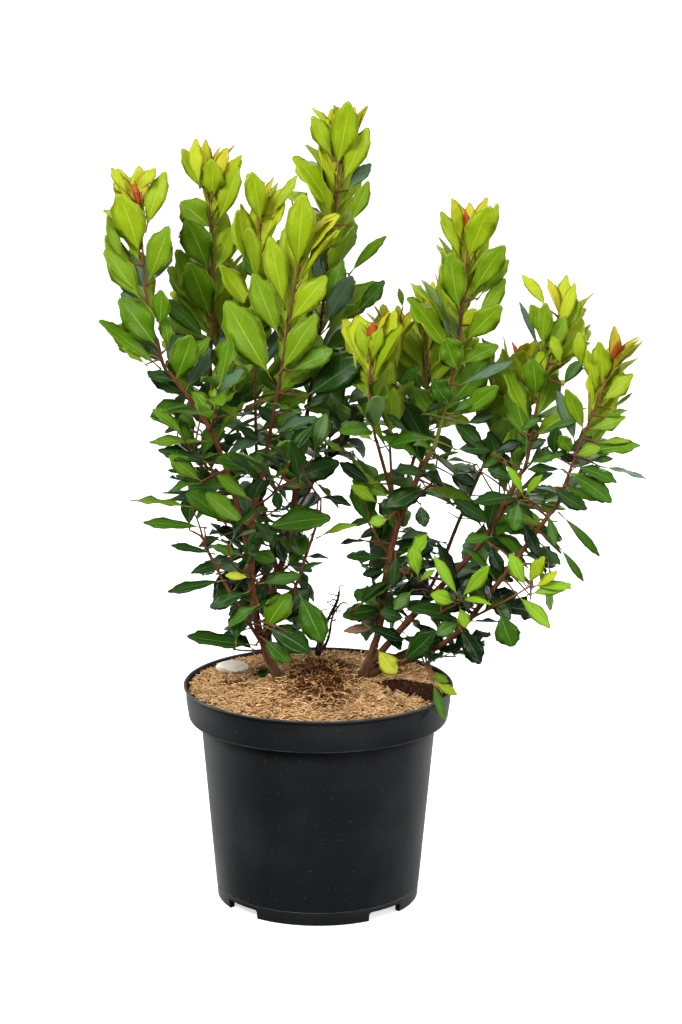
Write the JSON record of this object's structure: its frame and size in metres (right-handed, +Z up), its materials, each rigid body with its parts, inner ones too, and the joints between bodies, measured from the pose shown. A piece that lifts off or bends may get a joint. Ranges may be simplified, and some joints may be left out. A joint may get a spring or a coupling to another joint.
{
  "type": "potted strawberry tree",
  "caption": "Young bushy evergreen shrub with upright leafy shoots on branching reddish stems, standing in a black nursery pot with a coir mulch mat.",
  "frame": {"origin": "centre of the whole plant's bounding box, on the ground under the pot", "axes": "+Z up; -Y is the side that the picture shows; +X to the right in the picture"},
  "size_m": [0.5676, 0.3683, 0.8141],
  "materials": {
    "pot_plastic": "moulded satin black polypropylene with fine pale specks",
    "growing_medium": "dark moist peat and bark compost",
    "coir": "tan coconut fibre mat",
    "pebble_stone": "pale worn stone",
    "bark": "reddish brown bark with fine lengthwise streaks",
    "dead_wood": "dry dark brown dead twig",
    "young_leaf": "young lime green leaf, satin",
    "mature_leaf": "dark green leathery leaf, glossy above and pale below"
  },
  "bodies": {
    "root": {"bough_back": "bark", "bough_centre": "bark", "bough_front": "bark", "bough_inner": "bark", "bough_left": "bark", "bough_left_back": "bark", "bough_low_left": "bark", "bough_low_right": "bark", "bough_rear_left": "bark", "bough_rear_right": "bark", "bough_right": "bark", "bough_right_back": "bark", "bough_right_low": "bark", "coir_mat": "coir", "cut_stub": "bark", "dead_twig": "dead_wood", "leaves_back": "young_leaf", "leaves_back_low": "mature_leaf", "leaves_back_side": "mature_leaf", "leaves_behind_main": "young_leaf", "leaves_bright_front": "young_leaf", "leaves_bright_low": "young_leaf", "leaves_bright_side": "young_leaf", "leaves_bright_small": "young_leaf", "leaves_centre": "young_leaf", "leaves_far_right": "young_leaf", "leaves_foot_front": "mature_leaf", "leaves_foot_left": "mature_leaf", "leaves_front": "young_leaf", "leaves_gap_high": "mature_leaf", "leaves_gap_low": "mature_leaf", "leaves_inner": "mature_leaf", "leaves_inner_high": "mature_leaf", "leaves_inner_low": "mature_leaf", "leaves_left": "young_leaf", "leaves_left_back": "young_leaf", "leaves_low_front": "mature_leaf", "leaves_low_left": "mature_leaf", "leaves_main_front": "mature_leaf", "leaves_middle": "young_leaf", "leaves_rear_foot": "mature_leaf", "leaves_rear_left": "young_leaf", "leaves_rear_low": "mature_leaf", "leaves_rear_right": "young_leaf", "leaves_red_tip": "young_leaf", "leaves_right": "young_leaf", "leaves_right_back": "young_leaf", "leaves_right_low": "young_leaf", "leaves_right_rear": "mature_leaf", "leaves_right_side": "mature_leaf", "leaves_rim": "mature_leaf", "leaves_side_front": "mature_leaf", "leaves_side_left": "mature_leaf", "leaves_upper_front": "mature_leaf", "pebble": "pebble_stone", "pot": "pot_plastic", "root_ball": "growing_medium", "trunk_left": "bark", "trunk_right": "bark"}
  },
  "joints": []
}
